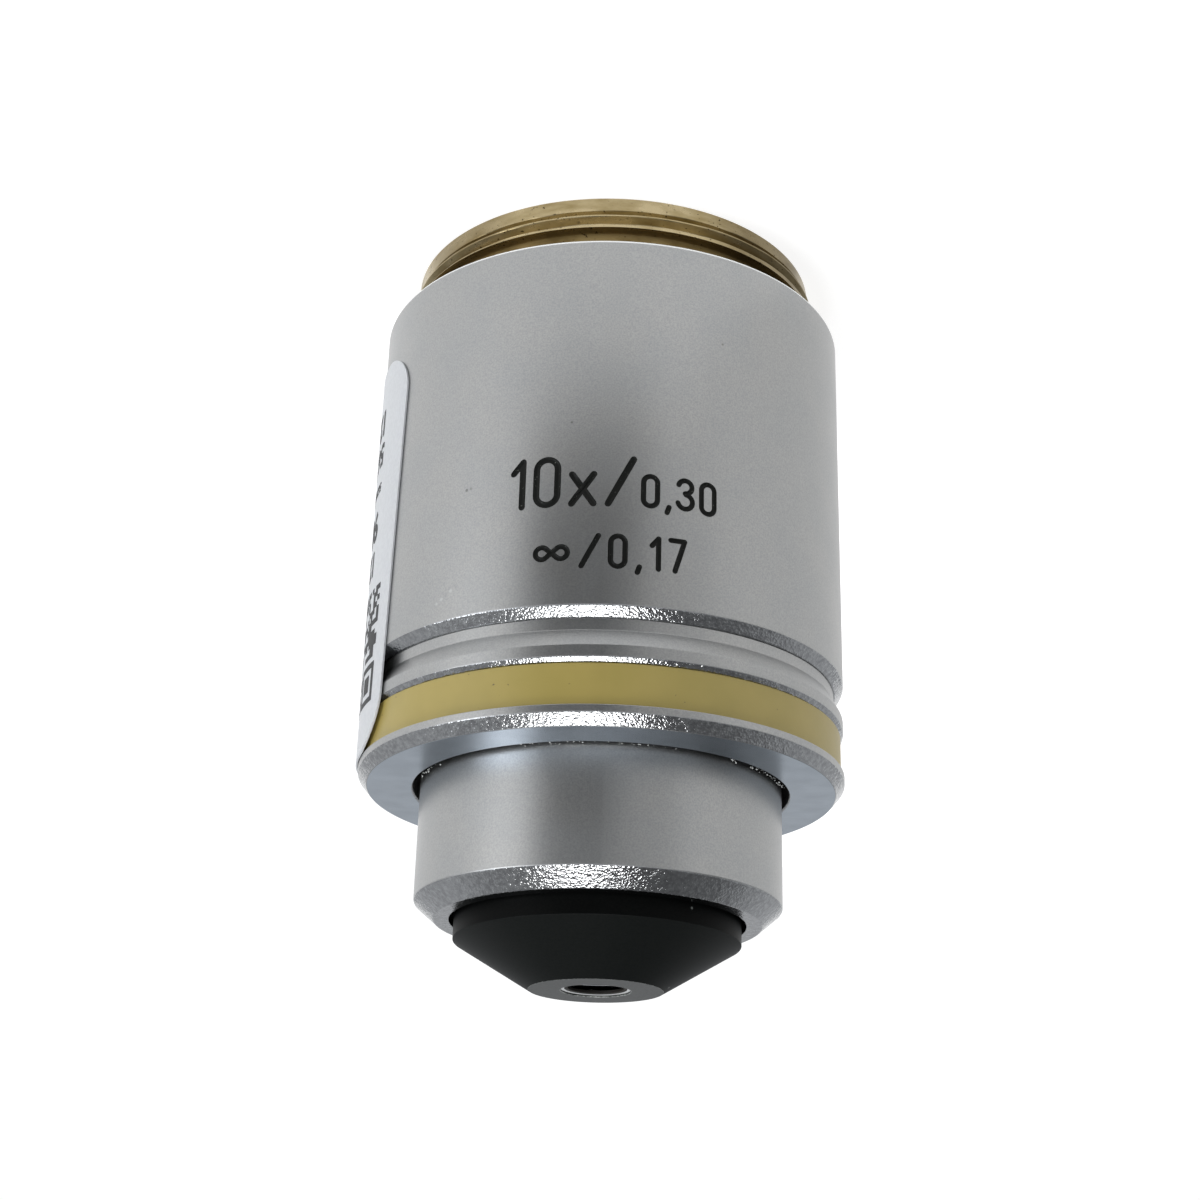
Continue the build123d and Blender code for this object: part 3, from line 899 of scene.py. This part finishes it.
# Front collar: neck, flare, lip, groove of the colour ring, lower lip and front face
NECK_END = SLEEVE_END + 0.72
FLARE_RADIUS = 15.05
FLARE_END = RING_LOW - 1.0
LIP_EDGE = RING_LOW - 0.3
LIP_CORNER = FLARE_RADIUS - 0.3
FACE_RADIUS = girth("front_barrel")
FACE_EDGE = BARREL_FACE - 0.67
HOLE_RADIUS = 11.64
HOLE_CHAMFER = 0.1
COLLAR_BORE = BODY_BORE + 0.05
GROOVE_RADIUS = 14.45
collar = turn(
    "front_collar",
    [
        (COLLAR_BORE, SLEEVE_END),
        (NECK_RADIUS, SLEEVE_END),
        (NECK_RADIUS, NECK_END),
        (FLARE_RADIUS, FLARE_END),
        (FLARE_RADIUS, LIP_EDGE),
        (LIP_CORNER, RING_LOW),
        (GROOVE_RADIUS, RING_LOW),
        (GROOVE_RADIUS, RING_HIGH),
        (FACE_RADIUS, RING_HIGH),
        (FACE_RADIUS, FACE_EDGE),
        (NECK_RADIUS, BARREL_FACE),
        (HOLE_RADIUS + HOLE_CHAMFER, BARREL_FACE),
        (HOLE_RADIUS, BARREL_FACE - HOLE_CHAMFER),
        (HOLE_RADIUS, STOP_FACE),
        (COLLAR_BORE, STOP_FACE),
    ],
)
ease(collar, 0.04)
paint(collar, SATIN)
hole_edge, hole_corner = BARREL_FACE - HOLE_CHAMFER - FIT, HOLE_RADIUS + HOLE_CHAMFER + FIT
paint(collar, EDGE, lambda r, z, n: z > FACE_EDGE and r > NECK_RADIUS + FIT)
paint(collar, EDGE, lambda r, z, n: LIP_EDGE < z < RING_LOW and r > LIP_CORNER)
# The front face: chrome tinted blue, a painted reflection of the sky
paint(collar, FACED, lambda r, z, n: n.z > 0.9 and z > BARREL_FACE - 0.05)
paint(collar, EDGE, lambda r, z, n: z > hole_edge and r < hole_corner)
place(collar, "barrel", "satin_chrome", "front_barrel")

# Lacquered ring that tells the magnification
ring = turn(
    "lacquered_ring",
    [
        (GROOVE_RADIUS + FIT, RING_LOW),
        (RING_RADIUS, RING_LOW),
        (RING_RADIUS, RING_HIGH),
        (GROOVE_RADIUS + FIT, RING_HIGH),
    ],
)
ease(ring, 0.06)
paint(ring, YELLOW)
place(ring, "barrel", "yellow_lacquer", "magnification_ring")

# Cover of the sliding nose
NOSE_CHAMFER = 1.25
NOSE_CHAMFER_LENGTH = 1.06
COVER_BORE = 10.32
COVER_HOLE = 9.0
COVER_WALL = 1.55
cover = turn(
    "nose_cover",
    [
        (COVER_BORE, NOSE_FOOT),
        (NOSE_RADIUS, NOSE_FOOT),
        (NOSE_RADIUS, NOSE_END - NOSE_CHAMFER_LENGTH),
        (NOSE_RADIUS - NOSE_CHAMFER, NOSE_END),
        (COVER_HOLE, NOSE_END),
        (COVER_HOLE, NOSE_END - COVER_WALL),
        (COVER_BORE, NOSE_END - COVER_WALL),
    ],
)
ease(cover, 0.06)
paint(cover, SATIN)
paint(cover, PEENED, lambda r, z, n: z > NOSE_END - NOSE_CHAMFER_LENGTH + 0.01)
place(cover, "nose", "satin_chrome", "nose_sleeve")

# Black cone with the window of the front glass
CONE_FOOT = foot("nose_cone")
CONE_BORE = girth("second_lens_cell") + FIT
CONE_GUIDE = girth("nose_cone")
CONE_GUIDE_END = top("lens_tube")
CONE_RADIUS = 8.72
CONE_START = CONE_FACE - 2.79
CONE_FLAT = 4.06
WINDOW_RADIUS = 2.08
WINDOW_DEPTH = 0.1
WINDOW_SEAT = CONE_FACE - foot("front_bezel")
WINDOW_RIM = girth("front_bezel")
GLASS_SEAT = girth("front_lens") + FIT
GLASS_SEAT_END = CONE_FACE - 3.29
cone = turn(
    "black_cone",
    [
        (CONE_BORE, CONE_FOOT),
        (CONE_GUIDE, CONE_FOOT),
        (CONE_GUIDE, CONE_GUIDE_END),
        (CONE_RADIUS, CONE_GUIDE_END),
        (CONE_RADIUS, CONE_START),
        (CONE_FLAT, CONE_FACE),
        (WINDOW_RADIUS + 0.06, CONE_FACE),
        (WINDOW_RADIUS, CONE_FACE - 0.06),
        (WINDOW_RADIUS, CONE_FACE - WINDOW_DEPTH),
        (WINDOW_RIM + FIT, CONE_FACE - WINDOW_DEPTH),
        (WINDOW_RIM + FIT, CONE_FACE - WINDOW_SEAT),
        (GLASS_SEAT, CONE_FACE - WINDOW_SEAT),
        (GLASS_SEAT, GLASS_SEAT_END),
        (CONE_BORE, GLASS_SEAT_END),
    ],
)
ease(cone, 0.03)
paint(cone, BLACK)
# The cone's upright side gets the darker copy of the black: painted shade
paint(cone, BLACK_SIDE_PAINTED_SHADE, lambda r, z, n: z < CONE_START - FIT and r > CONE_RADIUS - 0.12)
# The cone's flat front is painted grey: painted sheen
paint(cone, BLACK_FACE_PAINTED_SHEEN, lambda r, z, n: n.z > 0.9 and z > CONE_FACE - 0.04 and r > 2.1)
# Pale grey along the cone's front edges: painted highlight
paint(cone, CONE_EDGE_PAINTED_HIGHLIGHT, lambda r, z, n: 0.5 < n.z < 0.98 and z > CONE_FACE - 0.05)
place(cone, "nose", "black_anodised", "nose_cone")

# Bright ring round the front glass, dished towards it and black along its inner edge
WINDOW_HOLE = 1.7
BRIGHT_EDGE = 1.9
window = turn(
    "window_ring",
    [
        (WINDOW_HOLE, CONE_FACE - WINDOW_SEAT),
        (WINDOW_RIM, CONE_FACE - WINDOW_SEAT),
        (WINDOW_RIM, CONE_FACE - WINDOW_DEPTH),
        (WINDOW_RADIUS, CONE_FACE - WINDOW_DEPTH),
        (BRIGHT_EDGE, CONE_FACE - 0.138),
        (WINDOW_HOLE, CONE_FACE - 0.18),
    ],
    WINDOW_SEGMENTS,
)
ease(window, 0.015)
# Near-white steel on the ring: its brightness is partly a painted highlight
paint(window, NEAR_WHITE_STEEL_HIGHLIGHT)
paint(window, INNER, lambda r, z, n: r < BRIGHT_EDGE - 0.01)
place(window, "nose", "bright_steel", "front_bezel")

# Sticker round the sleeve, cut into strips so that it bends, then given its thickness
LABEL_ANGLE = 11.4
LABEL_TILT = 1.7
LABEL_RADIUS = SLEEVE_RADIUS + FIT
LABEL_CHORD = 20.35
LABEL_HEIGHT = 26.27
LABEL_CORNER = 3.2
LABEL_THICKNESS = 0.11
LABEL_MIDDLE = 3.28 + LABEL_HEIGHT / 2
deselect()
bpy.ops.mesh.primitive_plane_add(size=1)
sticker = bpy.context.object
sticker.name = sticker.data.name = "stock_sticker"
sticker.scale = (LABEL_CHORD * MM, LABEL_HEIGHT * MM, 1)
settle(sticker)
edit(sticker)
bpy.ops.mesh.bevel(offset=LABEL_CORNER * MM, segments=14, affect="VERTICES")
bpy.ops.transform.rotate(value=radians(LABEL_TILT), orient_axis="Z", center_override=(0, 0, 0))
done()


def wrap(piece, radius, thickness, step=0.25, reach=12.25):
    """Cut a flat piece into strips, press it straight onto the sleeve, and give it its thickness."""
    edit(piece)
    for i in range(1, int(2 * reach / step)):
        bpy.ops.mesh.select_all(action="SELECT")
        bpy.ops.mesh.bisect(plane_co=((i * step - reach) * MM, 0, 0), plane_no=(1, 0, 0))
    done()
    turned = Matrix.Rotation(radians(LABEL_ANGLE), 3, "Z")
    for vertex in piece.data.vertices:
        side, up = vertex.co.x / MM, vertex.co.y / MM
        vertex.co = turned @ Vector((sqrt(radius**2 - side**2), side, up + LABEL_MIDDLE)) * MM
    edit(piece)
    bpy.ops.mesh.normals_make_consistent(inside=False)
    done()
    modify(piece, "SOLIDIFY", thickness=thickness * MM, offset=1.0)
    bpy.ops.object.shade_smooth_by_angle(angle=radians(30))


wrap(sticker, LABEL_RADIUS, LABEL_THICKNESS)
paint(sticker, STICKER)
place(sticker, "barrel", "label_paper", "stock_label")

# Print on the sticker, which reads the way the nose stands up: rows of plain figures, by the height of
# their top and their size, and above them a patch of square dots that says nothing
PRINT_ROWS = [
    (1.5, 1.6, "12345 678"),
    (-0.9, 1.9, "90 1234"),
    (-4.2, 0.6, "5678901234"),
    (-6.1, 1.5, "567 890"),
    (-8.3, 1.7, "1234567"),
]
PRINT_LEFT = -7.45
DOT = 0.36
DOTS = 21
PATCH_LEFT, PATCH_LOW = -9.05, 2.62
random.seed(7)


def dark_dot(across, down):
    """Whether a square dot of the patch is printed. Two corners hold a square in a frame."""
    for left, high in ((0, 0), (DOTS - 7, DOTS - 7)):
        if left - 1 <= across <= left + 7 and high - 1 <= down <= high + 7:
            far = max(abs(across - left - 3), abs(down - high - 3))
            return far in (0, 1, 3)
    return random.random() < 0.5


deselect()
bpy.ops.mesh.primitive_grid_add(x_subdivisions=DOTS, y_subdivisions=DOTS, size=DOTS * DOT * MM)
dots = bpy.context.object
dots.name = dots.data.name = "label_print"
dots.location = Vector((PATCH_LEFT + DOTS * DOT / 2, PATCH_LOW + DOTS * DOT / 2, 0)) * MM
corner = dots.data.polygons[0].center / MM
for face in dots.data.polygons:
    face.select = False
pale = []
for face in dots.data.polygons:
    spot = (face.center / MM - corner) / DOT
    if not dark_dot(round(spot.x), DOTS - 1 - round(spot.y)):
        pale.append(face.index)
settle(dots)
edit(dots)
bpy.ops.mesh.select_mode(type="FACE")
bpy.ops.mesh.select_all(action="DESELECT")
done()
for index in pale:
    dots.data.polygons[index].select = True
bpy.ops.object.mode_set(mode="EDIT")
bpy.ops.mesh.delete(type="FACE")
done()
lines = []
for high, tall, figures in PRINT_ROWS:
    deselect()
    bpy.ops.object.text_add(location=(PRINT_LEFT * MM, (high - tall) * MM, 0))
    line = bpy.context.object
    line.data.body = figures
    line.data.size = tall * 1.4 * MM
    line.data.resolution_u = 3
    line.data.offset = 0.05 * tall * MM
    bpy.ops.object.convert(target="MESH")
    settle(bpy.context.object)
    lines.append(bpy.context.object)
deselect()
for line in lines + [dots]:
    line.select_set(True)
bpy.context.view_layer.objects.active = dots
bpy.ops.object.join()
edit(dots)
bpy.ops.mesh.remove_doubles(threshold=0.0005 * MM)
bpy.ops.transform.rotate(value=radians(LABEL_TILT), orient_axis="Z", center_override=(0, 0, 0))
done()
wrap(dots, LABEL_RADIUS + LABEL_THICKNESS + 0.002, 0.01)
paint(dots, INK)
place(dots, "barrel")

# Front glass, turned smooth because its face shows in the window. Its two inmost rings are drawn together
# on the axis, which closes the middle.
GLASS_RIM = girth("front_lens")
FRONT_CURVE, BACK_CURVE = 12.0, 5.18
glass_front = top("front_lens") - (FRONT_CURVE - sqrt(FRONT_CURVE**2 - GLASS_RIM**2))
glass_back = foot("front_lens")
CENTRE = 0.02
steps = [GLASS_RIM * i / 16 for i in range(1, 17)]
front_glass = turn(
    "front_glass",
    [(r, glass_front + FRONT_CURVE - sqrt(FRONT_CURVE**2 - r**2)) for r in steps[::-1]]
    + [(CENTRE, glass_front), (CENTRE, glass_back)]
    + [(r, glass_back + BACK_CURVE - sqrt(BACK_CURVE**2 - r**2)) for r in steps],
    WINDOW_SEGMENTS,
)
for vertex in front_glass.data.vertices:
    if vertex.co.xy.length < 2 * CENTRE * MM:
        vertex.co.xy = (0, 0)
edit(front_glass)
bpy.ops.mesh.remove_doubles(threshold=0.0005 * MM)
bpy.ops.mesh.delete_loose()
done()
bpy.ops.object.shade_smooth_by_angle(angle=radians(30))
paint(front_glass, GLASS)
place(front_glass, "nose", "optical_glass", "front_lens")

# Pale flakes in the running gap: dust, thick at two places, and a thin run along the front that stands in
# for the glints on the nose's edge, a painted highlight
random.seed(11)
deselect()
bpy.ops.mesh.primitive_ico_sphere_add(subdivisions=1, radius=0.03 * MM, location=(0, -11.5 * MM, 30.7 * MM))
dust = bpy.context.object
dust.name = dust.data.name = "gap_dust_and_glints"
settle(dust)
edit(dust)
for first, last, count in ((-165, -130, 44), (-36, -16, 16), (-112, -66, 30)):
    for _ in range(count):
        along = radians(random.uniform(first, last))
        out = random.uniform(11.33, 11.56)
        bpy.ops.mesh.primitive_ico_sphere_add(
            subdivisions=1,
            radius=random.uniform(0.025, 0.07) * MM,
            location=(out * cos(along) * MM, out * sin(along) * MM, random.uniform(30.72, 30.84) * MM),
            rotation=(random.uniform(0, 3), random.uniform(0, 3), 0),
            scale=(1, random.uniform(0.5, 1), random.uniform(0.25, 0.6)),
        )
done()
paint(dust, DUST_AND_GLINTS)
place(dust, "barrel")

# Floor and lights
deselect()
bpy.ops.mesh.primitive_plane_add(size=6, location=(0, 1.2, FLOOR * MM))
ground = bpy.context.object
ground.name = "ground"
settle(ground)


def ground_finish():
    """Plain white paper. Rays that come straight from the camera, or by a reflection or through
    glass, see it as plain white with the object's shadow."""
    made, tree, place = material("white_paper_floor")
    path = add(tree, "ShaderNodeLightPath")
    paper = add(tree, "ShaderNodeBsdfDiffuse", None, {"Color": colour("#e8e8e8")})
    faint = add(tree, "ShaderNodeBsdfDiffuse", None, {"Color": colour("#aaaaaa")})
    seen = add(tree, "ShaderNodeEmission", None, {"Color": (1, 1, 1, 1), "Strength": 0.84})
    veil = add(tree, "ShaderNodeAddShader", None, {0: faint.outputs[0], 1: seen.outputs[0]})
    either = add(
        tree,
        "ShaderNodeMath",
        {"operation": "MAXIMUM"},
        {0: path.outputs["Is Camera Ray"], 1: path.outputs["Is Glossy Ray"]},
    )
    any_ray = add(
        tree,
        "ShaderNodeMath",
        {"operation": "MAXIMUM"},
        {0: either.outputs[0], 1: path.outputs["Is Transmission Ray"]},
    )
    shown = add(
        tree,
        "ShaderNodeMixShader",
        None,
        {0: any_ray.outputs[0], 1: paper.outputs[0], 2: veil.outputs[0]},
    )
    add(tree, "ShaderNodeOutputMaterial", None, {"Surface": shown.outputs[0]})
    return made


ground.data.materials.append(ground_finish())
ground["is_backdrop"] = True


def card(name, corners, level):
    """A card on the floor beside the object that only its reflections see, glowing at a plain level:
    painted shade below the floor's level, painted light above it.
    """
    deselect()
    bpy.ops.mesh.primitive_plane_add(size=1)
    made = bpy.context.object
    made.name = name
    for vertex, (x, y) in zip(made.data.vertices, corners):
        vertex.co = Vector((x, y, FLOOR + 0.4)) * MM
    finish, tree, _ = material(name + "_card")
    plain = add(tree, "ShaderNodeEmission", None, {"Color": (level, level, level, 1), "Strength": 1.0})
    add(tree, "ShaderNodeOutputMaterial", None, {"Surface": plain.outputs[0]})
    made.data.materials.append(finish)
    made.visible_camera = False
    made.visible_shadow = False
    made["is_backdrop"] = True
    return made


# Painted shade on the floor in front of the object, a painted pool of light on the floor in front towards
# +X, and painted shade that makes the floor on its right a little greyer
card("front_painted_shade", [(-46, -46), (30, -46), (-306, -280), (242, -280)], 0.08)
card("sunlit_front", [(104, -112), (260, -240), (60, -30), (260, -60)], 1.6)
card("side_painted_shade", [(-18, -160), (-18, 160), (-260, -160), (-260, 160)], 0.98)

# The room above the floor: greyer overhead than at the sides, with soft patches of other levels, such as
# the pale wall in front and the window at the right
world = bpy.data.worlds.new("studio")
bpy.context.scene.world = world
world.use_nodes = True
sky = world.node_tree
sky.nodes.clear()
direction = add(sky, "ShaderNodeTexCoord").outputs["Generated"]
parts = add(sky, "ShaderNodeSeparateXYZ", None, {"Vector": direction})
ramp = add(sky, "ShaderNodeValToRGB", None, {"Fac": parts.outputs["Z"]})
# Levels of the sky by the height of the direction
levels = [(0.0, 0.55), (0.17, 0.53), (0.34, 0.51), (0.5, 0.49), (0.64, 0.29), (0.75, 0.18), (1.0, 0.13)]
while len(ramp.color_ramp.elements) < len(levels):
    ramp.color_ramp.elements.new(0.5)
for element, (position, level) in zip(ramp.color_ramp.elements, levels):
    element.position = position
    element.color = (level * 0.98, level, level * 1.03, 1)


def smooth(value, low, high, first=0.0, last=1.0):
    """A soft step from one level to another, between two values."""
    return add(
        sky,
        "ShaderNodeMapRange",
        {"interpolation_type": "SMOOTHSTEP"},
        {"Value": value, "From Min": low, "From Max": high, "To Min": first, "To Max": last},
    ).outputs[0]


def patch(tone, middle, near, far, level):
    """A sky with a soft round patch of another level, by its edge's inner and outer angle."""
    facing = add(sky, "ShaderNodeVectorMath", {"operation": "DOT_PRODUCT"}, {0: direction, 1: middle})
    amount = smooth(facing.outputs["Value"], cos(radians(far)), cos(radians(near)))
    return between(sky, amount, tone, (level * 0.97, level, level * 1.05, 1.0))


path = add(sky, "ShaderNodeLightPath")
high_up = smooth(parts.outputs["Z"], 0.42, 0.8)
to_the_side = smooth(parts.outputs["X"], 0.0, 0.5, 0.0, 1.2)
boost = add(sky, "ShaderNodeMath", {"operation": "MULTIPLY_ADD"}, {0: high_up, 1: to_the_side, 2: 1.0})
boosted = {0: ramp.outputs["Color"], "Scale": boost.outputs[0]}
lit = add(sky, "ShaderNodeVectorMath", {"operation": "SCALE"}, boosted)
lit = patch(lit.outputs[0], (0.0, -0.95, 0.31), 12, 30, 0.85)
lit = patch(lit, (0.85, -0.44, 0.28), 10, 22, 4.5)
lit = patch(lit, (-0.93, -0.25, 0.28), 8, 22, 0.18)
soft = add(sky, "ShaderNodeBackground", None, {"Color": lit, "Strength": 1.0})
white = add(sky, "ShaderNodeBackground", None, {"Color": (1, 1, 1, 1), "Strength": 1.0})
both = add(
    sky,
    "ShaderNodeMixShader",
    None,
    {0: path.outputs["Is Camera Ray"], 1: soft.outputs[0], 2: white.outputs[0]},
)
add(sky, "ShaderNodeOutputWorld", None, {"Surface": both.outputs[0]})


def lamp(name, power, size, location, aim, tint="#ffffff"):
    """A rectangular softbox."""
    light = bpy.data.lights.new(name, "AREA")
    light.shape = "RECTANGLE"
    light.size, light.size_y = size[0] * MM, size[1] * MM
    light.energy = power
    light.color = colour(tint)[:3]
    made = bpy.data.objects.new(name, light)
    bpy.context.scene.collection.objects.link(made)
    made.location = Vector(location) * MM
    made.rotation_euler = (Vector(location) - Vector(aim)).to_track_quat("Z", "Y").to_euler()
    return made


lamp("overhead_softbox", 0.9, (220, 160), (44, -140, 430), (0, 0, 20))

# Camera, upside down as the photo is, and level with the ring round the nose
eye = Vector((0.37643, -113.58947, 62.57987)) * MM
right = Vector((-0.9996292, -0.0100243, -0.0253167))
up = Vector((0.0272290, -0.3680117, -0.9294224))
back = Vector((0.0, -0.9297671, 0.3681482))
lens = bpy.data.cameras.new("camera")
lens.sensor_width = 36
lens.lens = 56.584
lens.clip_start = 0.001
lens.clip_end = 20
camera = bpy.data.objects.new("camera", lens)
bpy.context.scene.collection.objects.link(camera)
turned = Matrix((right, up, back)).transposed().to_4x4()
turned.translation = eye
camera.matrix_world = turned
bpy.context.scene.camera = camera

bpy.context.scene.view_settings.view_transform = "Standard"

low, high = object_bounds()
